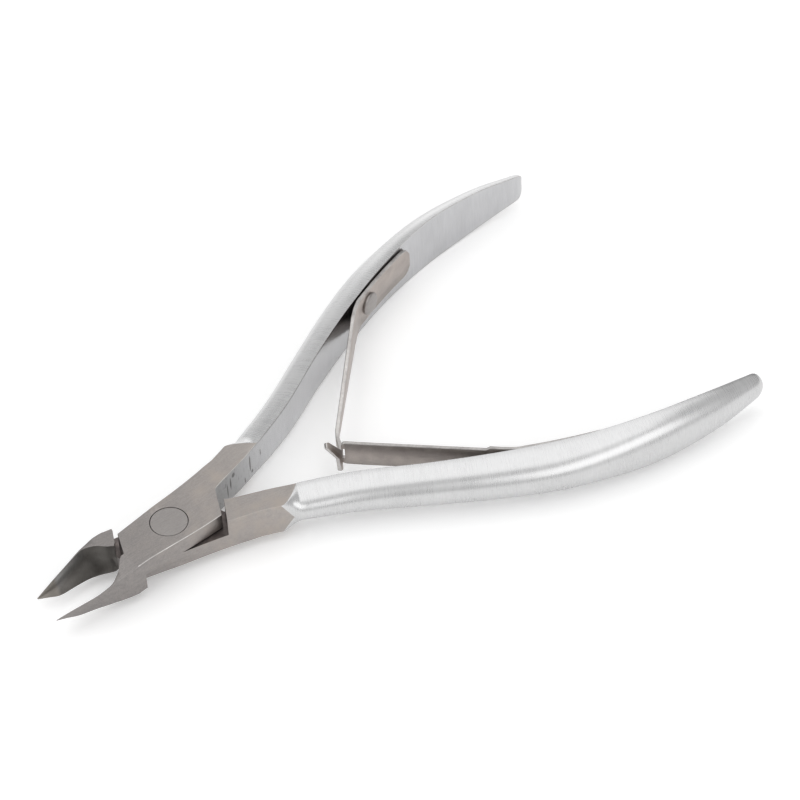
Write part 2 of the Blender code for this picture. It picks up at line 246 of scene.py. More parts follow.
def innerSteel():
    # flat inner faces: finer, shinier, with file marks near the joint and a painted shade band under the top
    # edge
    material, tools, shader = startMaterial("innerSteel")
    grain = along(tools)
    lines = grain.scaled(3.0, 0.25, 0).noise(1.0, 4.0, 0.7)
    spot = place(tools)
    cloud = spot.noise(0.18, 2.0, 0.5)
    ragged = spot.noise(2.5, 3.0, 0.7)
    east = eastOf(spot)
    height = spot.make("ShaderNodeSeparateXYZ", {}, {"Vector": spot}, 2)
    root = east.between(21.0, 9.0)
    marks = grain.scaled(3.2, 0.5, 0).noise(1.0, 3.0, 0.65).between(0.56, 0.7) * root * 0.7
    for x, z, halfWidth, halfLength in innerLook["scratches"]:
        acrossIt, alongIt = (east - x) * (1 / halfWidth), (height - z) * (1 / halfLength)
        reach = acrossIt * acrossIt + alongIt * alongIt + (ragged - 0.5) * 1.6
        marks = marks + reach.between(1.3, 0.5) * 0.8
    # painted shade: a dark band just under the inner face's top edge, in the same dark colour as the marks
    underEdge = east * innerLook["widening"] + innerLook["halfWidthAtJoint"] - height
    creaseShade = underEdge.between(0.4, 0.1) * east.between(15.0, 20.0) * east.between(52.0, 38.0)
    shade = (lines - 0.5) * 1.2 + (cloud - 0.5) * 0.8 + 0.55 - creaseShade * 0.6
    colour = shade.blend(innerLook["dark"], innerLook["light"])
    colour = (creaseShade * (ragged * 0.5 + 0.45)).blend(colour, innerLook["markAndCreaseShade"])
    colour = (root * (ragged * 0.5 + 0.6)).blend(colour, innerLook["root"])
    colour = marks.blend(colour, innerLook["markAndCreaseShade"])
    rough = innerLook["rough"] + (lines - 0.5) * 0.12 + root * 0.16 + marks * 0.15
    finishMaterial(tools, shader, colour, rough, lines - marks * 0.5, innerLook["bump"])
    return material


# painted dark reflection for the hollows, a painted highlight streak, and the tip facet's colour
hollowDarkReflectionLook = {
    "light": (0.18, 0.172, 0.163, 1), "dark": (0.105, 0.098, 0.09, 1),
    "highlightStreak": (0.36, 0.355, 0.35, 1), "tip": (0.25, 0.232, 0.21, 1), "rough": 0.42, "bump": 0.000008,
}


def hollowDarkReflectionSteel():
    # the ground hollows: smooth, painted dark for the reflection of dark surroundings, with a painted
    # highlight streak beside the outer edge and a honed facet at the tip
    material, tools, shader = startMaterial("hollowDarkReflectionSteel")
    spot = place(tools)
    fine = spot.scaled(8.0, 1.5, 1.5).noise(1.0, 3.0, 0.6)
    soft = spot.scaled(0.5, 0.5, 0.7).noise(1.0, 2.0, 0.5)
    east = eastOf(spot)
    height = spot.make("ShaderNodeSeparateXYZ", {}, {"Vector": spot}, 2)
    tip = east.between(-16.1, -16.6)
    belowRim = height - (east + 14.0) * 0.42 - 0.43  # 0 at the rim, ahead of the wide part
    # painted highlight: a lighter streak beside the outer edge, along the hollow
    highlightStreak = belowRim.between(-1.6, -0.25) * east.between(-11.2, -13.0) * (fine * 0.5 + 0.55)
    shade = (soft - 0.5) * 1.3 + (fine - 0.5) * 0.6 + 0.4
    colour = shade.blend(hollowDarkReflectionLook["dark"], hollowDarkReflectionLook["light"])
    colour = highlightStreak.blend(colour, hollowDarkReflectionLook["highlightStreak"])
    colour = tip.blend(colour, hollowDarkReflectionLook["tip"])
    rough = hollowDarkReflectionLook["rough"] + (fine - 0.5) * 0.14 - highlightStreak * 0.08
    finishMaterial(tools, shader, colour, rough, fine, hollowDarkReflectionLook["bump"])
    return material


leafLook = {"light": (0.50, 0.45, 0.42, 1), "dark": (0.34, 0.305, 0.285, 1), "rough": 0.4, "bump": 0.00001}


def leafSteel():
    # spring strip with a brownish bloom
    material, tools, shader = startMaterial("leafSteel")
    spot = place(tools)
    grit = spot.noise(6.0, 3.0, 0.7)
    stains = spot.noise(0.6, 3.0, 0.55)
    shade = (grit - 0.5) * 0.9 + (stains - 0.5) * 1.4 + 0.5
    colour = shade.blend(leafLook["dark"], leafLook["light"])
    rough = leafLook["rough"] + (stains - 0.5) * 0.16 + (grit - 0.5) * 0.1
    finishMaterial(tools, shader, colour, rough, grit, leafLook["bump"])
    return material


rivetLook = {"light": (0.42, 0.395, 0.38, 1), "dark": (0.27, 0.254, 0.247, 1), "rough": 0.36, "bump": 0.00001}


def rivetSteel():
    material, tools, shader = startMaterial("rivetSteel")
    spot = place(tools)
    grit = spot.noise(5.0, 4.0, 0.75)
    strokes = spot.scaled(0.6, 6.0, 1.5).noise(1.0, 3.0, 0.6)
    shade = (grit - 0.5) * 0.9 + (strokes - 0.5) * 0.8 + 0.45
    colour = shade.blend(rivetLook["dark"], rivetLook["light"])
    rough = rivetLook["rough"] + (grit - 0.5) * 0.14
    finishMaterial(tools, shader, colour, rough, grit + strokes * 0.8, rivetLook["bump"])
    return material


def smoothCurve(points, x):
    # a smooth curve through the points, with each point's slope from its neighbours
    x = min(max(x, points[0][0]), points[-1][0])
    i = max(j for j in range(len(points) - 1) if points[j][0] <= x)

    def slope(j):
        before = points[max(j - 1, 0)]
        after = points[min(j + 1, len(points) - 1)]
        return (after[1] - before[1]) / (after[0] - before[0])

    (x0, y0), (x1, y1) = points[i], points[i + 1]
    span = x1 - x0
    t = (x - x0) / span
    start = (1 + 2 * t) * (1 - t) ** 2 * y0 + t * (1 - t) ** 2 * span * slope(i)
    end = t * t * (3 - 2 * t) * y1 + t * t * (t - 1) * span * slope(i + 1)
    return start + end


def share(x, start, end):
    return min(max((x - start) / (end - start), 0.0), 1.0)


def steps(start, end, count):
    return [start + (end - start) * i / count for i in range(count + 1)]


# plan positions are in mm, with the nipper closed; each lever is then turned open by halfOpening
lever = {
    "halfOpening": 6.47,  # degrees
    "jointHalf": 2.5,
    "lapGap": 0.2,
    "edge": 0.08,  # rounding of the ground edges
    "jawEdge": 0.05,
    "jaw": (  # along, outer side at the top and bottom, hollow's top and bottom, top, bottom
        (-19.5, 0.20, 0.17, 0.17, 0.10, -1.33, -1.47),
        (-18.0, 0.74, 0.42, 0.66, 0.05, -0.80, -1.95),
        (-16.4, 1.32, 0.78, 1.20, 0.02, -0.30, -2.45),
        (-14.0, 2.15, 1.52, 1.99, 0.36, 0.43, -2.46),
        (-12.4, 2.60, 2.10, 2.40, 0.58, 1.10, -2.47),
        (-11.6, 2.74, 2.35, 2.44, 0.62, 1.44, -2.48),
        (-10.8, 2.88, 2.65, 2.12, 0.56, 1.70, -2.49),
        (-10.0, 3.06, 2.90, 1.68, 0.44, 1.93, -2.49),
        (-9.3, 3.20, 3.10, 1.02, 0.26, 2.12, -2.50),
        (-8.7, 3.30, 3.25, 0.45, 0.12, 2.26, -2.50),
        (-8.3, 3.35, 3.33, 0.20, 0.04, 2.38, -2.50),
    ),
    "hollow": 0.35,
    "hollowFullWidth": 1.2,  # the hollow has its full depth where it is this wide
    "rimSlope": 0.85,
    "lowerJawTop": 2.0,  # the lower lever's jaw is ground down to this at its back
    "nearSide": ((-7.9, -3.33), (-6.2, -3.3), (-3.0, -3.5), (0.0, -3.74), (3.0, -3.9), (5.75, -3.97)),
    "farSide": (
        (-6.2, 3.1), (-3.0, 3.36), (0.0, 3.62), (3.0, 3.78),
        (6.0, 4.0), (8.2, 4.24), (9.6, 4.44), (12.0, 4.76),
    ),
    "plateFront": (-7.8, -0.15),
    "crotchStep": 0.3,
    "innerFaceStart": 7.9,
    "crotch": ((6.5, -2.65), (7.3, -1.25), (7.75, -0.45), (8.0, 0.0), (8.25, 0.26), (8.7, 0.43), (9.6, 0.65)),
    "slopeReach": 0.5,  # the inner face's slope is measured this far to each side
    "face": (
        (9.6, 0.65), (12.0, 1.2), (15.1, 1.95), (24.8, 5.05), (34.6, 9.4), (44.4, 13.2),
        (54.1, 16.1), (63.5, 17.75), (72.9, 17.8), (80.2, 17.15), (82.4, 16.93),
    ),
    "halfWidth": (
        (12.0, 2.5), (16.5, 2.52), (24.8, 2.87), (34.6, 3.19), (44.4, 3.49),
        (54.1, 3.77), (63.5, 4.12), (72.9, 3.47), (80.2, 2.35), (82.4, 2.0),
    ),
    "depth": (
        (12.0, 3.5), (16.0, 3.62), (18.5, 3.85), (24.7, 3.9), (33.2, 3.85), (41.6, 4.2), (50.0, 4.5),
        (58.3, 4.05), (66.4, 3.4), (74.4, 2.7), (82.4, 1.6),
    ),
    "flatsStart": 14.95,
    "topFlatEnd": 17.6,
    "topFlatPower": 1.5,
    "sideFlatEnd": 16.5,
    "fullRound": 0.999,  # share of the half section that the rounding may take
    "handleStart": 12.0,
    "handleEnd": 82.0,
    "endRound": 1.6,
    "tipLeft": 0.02,  # keeps the last section from closing to a point
    "endPower": 2.6,  # how full the end's rounding is, in width
    "endSteps": (0.25, 0.45, 0.62, 0.76, 0.87, 0.94, 0.98, 1.0),
    "jawRings": 30,
    "jointRings": 14,
    "rootRings": 4,
    "changeRings": 16,
    "handleRings": 90,
    "nearPoints": 4,  # points on each rounded edge of the inner side
    "farPoints": 14,
    "cutterReach": 8.0,  # how far the lap's cutter goes past the lever, in plan
    "cutterHeight": 6.0,
    "shoulderFoot": (8.6, -1.2),
    "jawBack": ((-6.9, -2.9), (-7.6, -0.83), (-7.9, -0.42)),
    "shoulder": ((6.55, 4.1), (8.2, -0.2)),
    "cutEdge": 0.05,
}


def facePoint(x):
    # a point on the handle's inner face and the direction out of the handle's back
    face = lever["face"]
    before, after = x - lever["slopeReach"], x + lever["slopeReach"]
    rise = smoothCurve(face, after) - smoothCurve(face, before)
    run = min(after, face[-1][0]) - max(before, face[0][0])
    forward = Vector((run, rise)).normalized()
    return Vector((x, smoothCurve(face, x))), Vector((-forward.y, forward.x))


def corner(across, up, roundAcross, roundUp, turn, count):
    # quarter ellipse with its centre at across, up; turn is the quarter that it starts from
    points = []
    for angle in steps(math.radians(90 * turn), math.radians(90 * (turn - 1)), count - 1):
        points.append((across + roundAcross * math.cos(angle), up + roundUp * math.sin(angle)))
    return points


def sectionRing(near, far, half, top, backAcross, backUp, edge):
    # a section between two plan points: small rounds at the near edges, larger ones at the far edges
    depth = (far - near).length
    outward = (far - near).normalized()
    few, many = lever["nearPoints"], lever["farPoints"]
    ring = corner(edge, -half + edge, edge, edge, 3, few)
    ring += corner(edge, top - edge, edge, edge, 2, few)
    ring += corner(depth - backAcross, top - backUp, backAcross, backUp, 1, many)
    ring += corner(depth - backAcross, -half + backUp, backAcross, backUp, 0, many)
    return [Vector((*(near + outward * away), up)) for away, up in ring]


def jawRing(x, ceiling):
    columns = [[(row[0], row[i]) for row in lever["jaw"]] for i in range(1, len(lever["jaw"][0]))]
    outer, foot, rim, cutting, top, bottom = (smoothCurve(column, x) for column in columns)
    drop = max(top - ceiling, 0.0)
    top, rim = top - drop, rim + drop * lever["rimSlope"]
    edge = min(lever["jawEdge"], foot / 5, (top - bottom) / 5)
    ring = [(y - foot, z) for y, z in corner(edge, bottom + edge, edge, edge, 3, lever["nearPoints"])]
    ring += [(y - outer, z) for y, z in corner(edge, top - edge, edge, edge, 2, lever["nearPoints"])]
    rim = min(rim, outer - edge)
    fullHollow = lever["hollow"] * share(rim, cutting, cutting + lever["hollowFullWidth"])
    for t in steps(0.0, 1.0, 2 * lever["farPoints"] - 1):
        hollow = fullHollow * math.sin(math.pi * t)
        ring.append((-(rim + (cutting - rim) * t + hollow), top + (bottom - top) * t))
    return [Vector((x, y, z)) for y, z in ring]


def handleRing(x):
    point, outward = facePoint(x)
    gone = share(x, lever["handleEnd"] - lever["endRound"], lever["handleEnd"] + lever["tipLeft"])
    power = lever["endPower"]
    half = smoothCurve(lever["halfWidth"], x) * (1 - gone ** power) ** (1 / power)
    fullDepth = smoothCurve(lever["depth"], x)
    depth = fullDepth * math.sqrt(1 - gone ** 2)
    edge = min(lever["edge"], depth / 3)
    topGrowth = share(x, lever["flatsStart"], lever["topFlatEnd"]) ** lever["topFlatPower"]
    sideGrowth = share(x, lever["flatsStart"], lever["sideFlatEnd"])
    backAcross = max(depth * topGrowth * lever["fullRound"], edge)
    backUp = max(half * sideGrowth * lever["fullRound"], edge)
    near = point + outward * (fullDepth - depth) / 2
    return sectionRing(near, near + outward * depth, half, half, backAcross, backUp, edge)


def jointRing(near, far, top=lever["jointHalf"]):
    edge = lever["edge"]
    return sectionRing(Vector(near), Vector(far), lever["jointHalf"], top, edge, edge, edge)


def leverRings(ceiling):
    # (kind, x, ring) from the jaw's tip to the handle's end
    jaw, nearSide, farSide = lever["jaw"], lever["nearSide"], lever["farSide"]
    rings = [("jaw", x, jawRing(x, ceiling)) for x in steps(jaw[0][0], jaw[-1][0], lever["jawRings"])]
    rings.append(("joint", nearSide[0][0], jointRing(nearSide[0], lever["plateFront"], ceiling)))
    for x in steps(farSide[0][0], nearSide[-1][0], lever["jointRings"]):
        top = ceiling if x == farSide[0][0] else lever["jointHalf"]
        near, far = (x, smoothCurve(nearSide, x)), (x, smoothCurve(farSide, x))
        rings.append(("joint", x, jointRing(near, far, top)))
    for near in lever["crotch"]:
        x = max(near[0], nearSide[-1][0] + lever["crotchStep"])
        rings.append(("joint", x, jointRing(near, (x, smoothCurve(farSide, x)))))
    for x in steps(lever["handleStart"], lever["flatsStart"], lever["rootRings"])[:-1]:
        rings.append(("root", x, handleRing(x)))
    for x in steps(lever["flatsStart"], lever["topFlatEnd"], lever["changeRings"])[:-1]:
        rings.append(("change", x, handleRing(x)))
    straightEnd = lever["handleEnd"] - lever["endRound"]
    for x in steps(lever["topFlatEnd"], straightEnd, lever["handleRings"]):
        rings.append(("handle", x, handleRing(x)))
    for gone in lever["endSteps"]:
        x = straightEnd + lever["endRound"] * gone
        rings.append(("handle", x, handleRing(x)))
    return rings


leverSlots = ("groundSteel", "handleSteel", "innerSteel", "hollowDarkReflectionSteel", "edgeWearAndHighlightSteel")


def finishOf(kind, x, i):
    # the finish of the strip from point i to the next one, by where it is on the section
    few, many = lever["nearPoints"], lever["farPoints"]
    nearFace = i == few - 1
    nearEdge = i < 2 * few - 1 and not nearFace
    sideFlat = i == 2 * few + many - 1
    topOrBottom = i == 2 * few - 1 or i == 2 * few + 2 * many - 1
    if kind == "jaw":
        return "hollowDarkReflectionSteel" if i >= 2 * few and not topOrBottom else "groundSteel"
    if kind in ("joint", "root"):
        if nearFace and x > lever["innerFaceStart"]:
            return "innerSteel"
        return "edgeWearAndHighlightSteel" if nearEdge else "groundSteel"
    if nearFace:
        return "innerSteel"
    if nearEdge:
        return "edgeWearAndHighlightSteel"
    ground = topOrBottom and kind == "change" or sideFlat and x < lever["sideFlatEnd"]
    return "groundSteel" if ground else "handleSteel"


def skin(rings, side, finishFor, slots):
    # closed skin over the rings, with a finish for each strip and a grain map in metres
    mesh = bmesh.new()
    grain = mesh.loops.layers.uv.new("grain")
    loops = []
    for ring in rings:
        loops.append([mesh.verts.new(Vector((p.x, p.y * side, p.z)) * mm) for p in ring[2]])
    count = len(loops[0])
    walk = 0.0
    for k in range(len(rings) - 1):
        near, far = loops[k], loops[k + 1]
        stride = (far[count // 2].co - near[count // 2].co).length
        around = 0.0
        for i in range(count):
            j = (i + 1) % count
            width = (near[j].co - near[i].co).length
            face = mesh.faces.new((near[i], near[j], far[j], far[i]))
            face.material_index = slots.index(finishFor(rings[k][0], rings[k][1], i))
            face.smooth = True
            ahead, beside = walk + stride, around + width
            places = ((walk, around), (walk, beside), (ahead, beside), (ahead, around))
            for loop, uv in zip(face.loops, places):
                loop[grain].uv = uv
            around = beside
        walk += stride
    for ends in (loops[0], loops[-1]):
        cap = mesh.faces.new(ends)
        cap.material_index = slots.index(finishFor(rings[-1][0], rings[-1][1], count // 2))
    bmesh.ops.remove_doubles(mesh, verts=mesh.verts, dist=mergeDistance)
    bmesh.ops.recalc_face_normals(mesh, faces=mesh.faces)
    return mesh


def addPiece(name, mesh, materials):
    data = bpy.data.meshes.new(name)
    mesh.to_mesh(data)
    mesh.free()
    for material in materials:
        data.materials.append(material)
    piece = bpy.data.objects.new(name, data)
    bpy.context.scene.collection.objects.link(piece)
    return piece


def setPlace(piece, turn=0.0):
    # puts a piece drawn about the joint's middle into the frame, turned about the pivot
    piece.matrix_world = Matrix.Rotation(turn, 4, "Z") @ Matrix.Translation((0, 0, midHeight * mm))
    return piece


def prism(outline, low, high):
    mesh = bmesh.new()
    floor = mesh.faces.new([mesh.verts.new((x * mm, y * mm, low * mm)) for x, y in outline])
    raised = bmesh.ops.extrude_face_region(mesh, geom=[floor])["geom"]
    top = [item for item in raised if isinstance(item, bmesh.types.BMVert)]
    bmesh.ops.translate(mesh, verts=top, vec=(0, 0, (high - low) * mm))
    bmesh.ops.recalc_face_normals(mesh, faces=mesh.faces)
    return mesh


def spun(profile, count):
    # solid of revolution from (radius, height) points that start and end on the axis
    mesh = bmesh.new()
    points = [mesh.verts.new((radius * mm, 0, height * mm)) for radius, height in profile]
    edges = [mesh.edges.new(pair) for pair in zip(points, points[1:])]
    bmesh.ops.spin(mesh, geom=points + edges, cent=(0, 0, 0), axis=(0, 0, 1), angle=math.tau, steps=count)
    bmesh.ops.remove_doubles(mesh, verts=mesh.verts, dist=mergeDistance)
    bmesh.ops.recalc_face_normals(mesh, faces=mesh.faces)
    for face in mesh.faces:
        face.smooth = True
    return mesh


def cut(piece, cutter):
    step = piece.modifiers.new("cut", "BOOLEAN")
    step.operation = "DIFFERENCE"
    step.solver = "EXACT"
    step.material_mode = "TRANSFER"  # the cut faces take the cutter's finish
    step.object = cutter
    cutters.append(cutter)


def settle(piece, sharpAngle=40):
    # applies the modifiers, removes the cutters and keeps only the real edges sharp
    bpy.context.view_layer.update()
    seen = piece.evaluated_get(bpy.context.evaluated_depsgraph_get())
    data = bpy.data.meshes.new_from_object(seen)
    piece.modifiers.clear()
    piece.data = data
    data.name = piece.name
    for face in data.polygons:
        face.use_smooth = True
    data.set_sharp_from_angle(angle=math.radians(sharpAngle))
    while cutters:
        bpy.data.objects.remove(cutters.pop())


def softenEdges(piece, width, angle=40):
    step = piece.modifiers.new("edges", "BEVEL")
    step.limit_method = "ANGLE"
    step.angle_limit = math.radians(angle)
    step.width = width * mm
    step.segments = 2
    step.use_clamp_overlap = True


def weighNormals(piece):
    step = piece.modifiers.new("normals", "WEIGHTED_NORMAL")
    step.keep_sharp = True
    step.weight = 80


def lapCutter(side, turn):
    back, shoulder = lever["jawBack"], lever["shoulder"]
    foot, reach = lever["shoulderFoot"], lever["cutterReach"]
    outline = [(back[0][0], -reach), *back, (back[-1][0], reach), (shoulder[0][0], reach), *shoulder]
    outline += [foot, (foot[0], -reach)]
    low, high = sorted((lever["lapGap"] / 2 * side, -lever["cutterHeight"] * side))
    block = prism([(x, y * side) for x, y in outline], low, high)
    # the lap's cut faces take this painted recess shade
    cutter = addPiece("lapCutter", block, [finishes["recessShadeSteel"]])
    return setPlace(cutter, turn=turn)


pivot = {
    "head": 2.5, "shank": 1.7, "headDepth": 0.9, "rim": 0.3, "gap": 0.1, "crown": 0.03, "steps": 96,
    "overrun": 5,  # a bore is cut this many gaps past the faces
}


def pivotProfile(gap, crown=0.0):
    half = lever["jointHalf"] + gap * pivot["overrun"]
    head, shank = pivot["head"] + gap, pivot["shank"] + gap
    inner, rim = lever["jointHalf"] - pivot["headDepth"], lever["jointHalf"] - pivot["rim"]
    side = [(head - crown, half), (head, half - crown), (head, rim), (shank, inner)]
    mirrored = [(radius, -height) for radius, height in reversed(side)]
    return [(0, half), *side, *mirrored, (0, -half)]


leafRivet = {
    "head": 1.7, "height": 0.7, "shank": 0.75, "length": 2.2, "gap": 0.1, "steps": 48,
    "holeAbove": 2, "holeSteps": 24, "clear": 0.02, "domeFoot": 0.3, "neck": 0.97,
}


def leafRivetPlace(side, turn):
    point, outward = facePoint(leaf["rivetAt"])
    spin = Matrix.Rotation(turn, 3, "Z")
    spot = spin @ Vector((point.x, point.y * side, leaf["rootRise"])) + Vector((0, 0, midHeight))
    inward = spin @ Vector((outward.x, outward.y * side, 0.0))
    return Matrix.Translation(spot * mm) @ inward.to_track_quat("Z", "Y").to_matrix().to_4x4()


def rivetHole(side, turn):
    radius, reach = leafRivet["shank"] + leafRivet["gap"], leafRivet["length"] + leafRivet["gap"]
    below = -leafRivet["holeAbove"]
    profile = [(0, below), (radius, below), (radius, reach), (0, reach)]
    cutter = addPiece("rivetHole", spun(profile, leafRivet["holeSteps"]), [finishes["groundSteel"]])
    cutter.matrix_world = leafRivetPlace(side, turn)
    return cutter


def makeLever(name, side, body):
    turn = math.radians(lever["halfOpening"]) * side
    ceiling = lever["jointHalf"] if side > 0 else lever["lowerJawTop"]
    rings = leverRings(ceiling)
    mesh = skin(rings, side, finishOf, leverSlots)
    piece = addPiece(name + "Shown", mesh, [finishes[slot] for slot in leverSlots])
    setPlace(piece, turn=turn)
    cut(piece, lapCutter(side, turn))
    bore = addPiece("bore", spun(pivotProfile(pivot["gap"]), pivot["steps"]), [finishes["groundSteel"]])
    cut(piece, setPlace(bore))
    cut(piece, rivetHole(side, turn))
    settle(piece)
    softenEdges(piece, lever["cutEdge"])
    settle(piece)
    weighNormals(piece)
    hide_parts(name)
    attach(piece, body)
    print(name, "made")


def makePivot():
    profile = pivotProfile(0.0, pivot["crown"])
    piece = setPlace(addPiece("pivotRivetShown", spun(profile, pivot["steps"]), [finishes["rivetSteel"]]))
    settle(piece, 30)
    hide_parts("pivot_rivet")
    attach(piece, "lower_half")
    print("pivot rivet made")


leaf = {
    "thickness": 0.55,
    "standOff": 0.15,
    "rootStart": 58.2,
    "rootEnd": 45.6,
    "rivetAt": 47.8,
    "rootWidth": 4.8,
    "rootRound": 1.9,  # rounding of the root end's corners
    "rootSteps": 24,
    "edge": 0.08,
    "endShare": 0.35,  # the end keeps this share of what the rounding would take
    "rootRise": 0.85,  # the root sits above the handle's middle, and the arm comes down to it
    "riseShare": 0.9,  # the arm has come down after this share of its length
    "bendSteps": 10,
    "armSteps": 14,
    "armStart": 0.12,  # where the bend gives way to the straight arm
    "upperHinge": (42.6, 17.4),
    "upperNeck": ((28.0, 1.3), (27.3, 0.2), (26.9, -0.85), (26.62, -1.5), (26.25, -1.85)),
    "upperHead": ((26.05, -1.96), (25.9, -2.07), (25.42, -2.42)),
    "upperWidth": 4.6,
    "neckWidth": 1.5,
    "headLength": 5.4,
    "headShares": (0.9, 1.0, 0.86),  # of headLength, at each point of the head
    "headTwists": (45.0, 4.0),  # degrees that the upper and lower ears lean
    "lowerHinge": (42.6, -17.4),
    "lowerEnd": (26.58, -1.68),
    "lowerWidth": 4.0,
    "lowerRound": 0.8,
    "lowerEndSteps": 7,
    "lowerEndStride": 0.14,
    "notchWidth": 1.8,
    "notchDepth": 0.5,
    "notchPast": 1.0,  # the notch's cutter goes this far past the strip's end and faces
    "notchBeside": 1.5,
}


def rootPath(side):
    turn = Matrix.Rotation(math.radians(lever["halfOpening"]) * side, 2)
    lift = leaf["standOff"] + leaf["thickness"] / 2
    path = []
    for x in steps(leaf["rootStart"], leaf["rootEnd"], leaf["rootSteps"]):
        point, outward = facePoint(x)
        closed = point - outward * lift
        path.append(turn @ Vector((closed.x, closed.y * side)))
    return path


def roundedEnd(count, length, full, radius):
    # widths of a strip whose end has rounded corners, over points one length apart
    widths = []
    for i in range(count):
        inside = min(i * length / radius, 1.0)
        widths.append(full - 2 * radius * (1 - math.sqrt(1 - (1 - inside) ** 2)) * (1 - leaf["endShare"]))
    return widths


def bend(start, middle, end, count):
    points = []
    for t in steps(0.0, 1.0, count)[1:-1]:
        points.append(start.lerp(middle, t).lerp(middle.lerp(end, t), t))
    return points


def stripRings(path, rises, widths, twists):
    half = leaf["thickness"] / 2
    edge = leaf["edge"]
    rings = []
    for i, point in enumerate(path):
        ahead = (path[min(i + 1, len(path) - 1)] - path[max(i - 1, 0)]).normalized()
        flat = Vector((-ahead.y, ahead.x, 0.0))
        ring = []
        for end, twist in zip((1, -1), twists[i]):
            turn = Matrix.Rotation(math.radians(twist), 3, Vector((*ahead, 0.0)))
            for off, drop in ((-half, edge), (-half + edge, 0.0), (half - edge, 0.0), (half, edge)):
                offset = flat * off * end + Vector((0.0, 0.0, end * (widths[i] / 2 - drop)))
                ring.append(Vector((*point, rises[i])) + turn @ offset)
            ring.append(Vector((*point, rises[i])) + flat * half * end)
        rings.append(("leaf", 0.0, ring))
    return rings


def leafFinish(kind, x, i):
    return "leafSteel" if i in (3, 4, 8, 9) else "leafEdgeHighlight"


def makeLeaf(name, side, hinge, arm, armWidths, armTwists, notch=None):
    root = rootPath(side)
    rounding = bend(root[-1], hinge, arm[0], leaf["bendSteps"])
    stride = (root[1] - root[0]).length
    widths = roundedEnd(len(root), stride, leaf["rootWidth"], leaf["rootRound"])
    widths += [leaf["rootWidth"]] * len(rounding) + armWidths
    twists = [(0.0, 0.0)] * (len(root) + len(rounding)) + armTwists
    reach = (arm[-1] - arm[0]).length * leaf["riseShare"]
    rises = [leaf["rootRise"]] * (len(root) + len(rounding))
    rises += [leaf["rootRise"] * (1 - share((point - arm[0]).length, 0.0, reach)) for point in arm]
    rings = stripRings(root + rounding + arm, rises, widths, twists)
    slots = ("leafSteel", "leafEdgeHighlight")
    piece = addPiece(name + "Shown", skin(rings, 1, leafFinish, slots), [finishes[slot] for slot in slots])
    setPlace(piece)
    cut(piece, rivetHole(side, math.radians(lever["halfOpening"]) * side))
    if notch:
        cut(piece, notch)
    settle(piece)
    weighNormals(piece)
    settle(piece)
    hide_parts(name)
    start, end = root[-3], arm[0].lerp(arm[1], 0.5)
    height = midHeight * mm
    start, end = (start.x * mm, start.y * mm, height), (end.x * mm, end.y * mm, height)
    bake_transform(piece)
    print(name, "made")


def straightArm(hinge, end):
    return [hinge.lerp(end, part) for part in steps(leaf["armStart"], 1.0, leaf["armSteps"])]


def makeUpperLeaf():
    hinge = Vector(leaf["upperHinge"])
    neck = [Vector(p) for p in leaf["upperNeck"]]
    head = [Vector(p) for p in leaf["upperHead"]]
    arm = straightArm(hinge, neck[0])
    widths = steps(leaf["upperWidth"], leaf["neckWidth"], leaf["armSteps"])
    arm += neck[1:] + head
    widths += [leaf["neckWidth"]] * (len(neck) - 1)
    widths += [leaf["headLength"] * part for part in leaf["headShares"]]
    twists = [(0.0, 0.0)] * (len(arm) - len(head)) + [leaf["headTwists"]] * len(head)
    makeLeaf("upper_leaf_spring", 1, hinge, arm, widths, twists)


def makeLowerLeaf():
    hinge, end = Vector(leaf["lowerHinge"]), Vector(leaf["lowerEnd"])
    arm = straightArm(hinge, end)
    count, stride = leaf["lowerEndSteps"], leaf["lowerEndStride"]
    corners = roundedEnd(count, stride, leaf["lowerWidth"], leaf["lowerRound"])
    last = [end.lerp(arm[-2], i * stride / (arm[-2] - end).length) for i in range(count)]
    widths = [leaf["lowerWidth"]] * (len(arm) - 1) + list(reversed(corners))
    arm = arm[:-1] + list(reversed(last))
    heading = (hinge - end).normalized()
    depth, half = leaf["notchDepth"], leaf["notchWidth"] / 2
    past, beside = leaf["notchPast"], leaf["notchBeside"]
    outline = [(-past, -beside), (depth, -beside), (depth, beside), (-past, beside)]
    notch = addPiece("notch", prism(outline, -half, half), [finishes["leafEdgeHighlight"]])
    spot = Vector((end.x, end.y, midHeight)) * mm
    notch.matrix_world = Matrix.Translation(spot) @ Matrix.Rotation(math.atan2(heading.y, heading.x), 4, "Z")
    twists = [(0.0, 0.0)] * len(arm)
    makeLeaf("lower_leaf_spring", -1, hinge, arm, widths, twists, notch)


def makeLeafRivet(name, side, body):
    base = -(leaf["standOff"] + leaf["thickness"] + leafRivet["clear"])
    head, high, foot = leafRivet["head"], leafRivet["height"], leafRivet["domeFoot"]
    dome = []
    for angle in steps(0.0, math.radians(90), 10)[:-1]:
        dome.append((head * math.cos(angle), base - high * (foot + (1 - foot) * math.sin(angle))))
    shank, length = leafRivet["shank"], leafRivet["length"]
    profile = [(0, length), (shank, length), (shank, base), (head * leafRivet["neck"], base), *dome]
    profile.append((0, base - high))
    piece = addPiece(name + "Shown", spun(profile, leafRivet["steps"]), [finishes["rivetSteel"]])
    piece.matrix_world = leafRivetPlace(side, math.radians(lever["halfOpening"]) * side)
    settle(piece, 35)
    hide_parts(name)
    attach(piece, body)
    print(name, "made")


floorLook = {
    "size": 3.0, "below": 0.00002,
    "colour": (0.93, 0.93, 0.93, 1), "rough": 0.9, "specular": 0.1, "glow": 0.2,
}


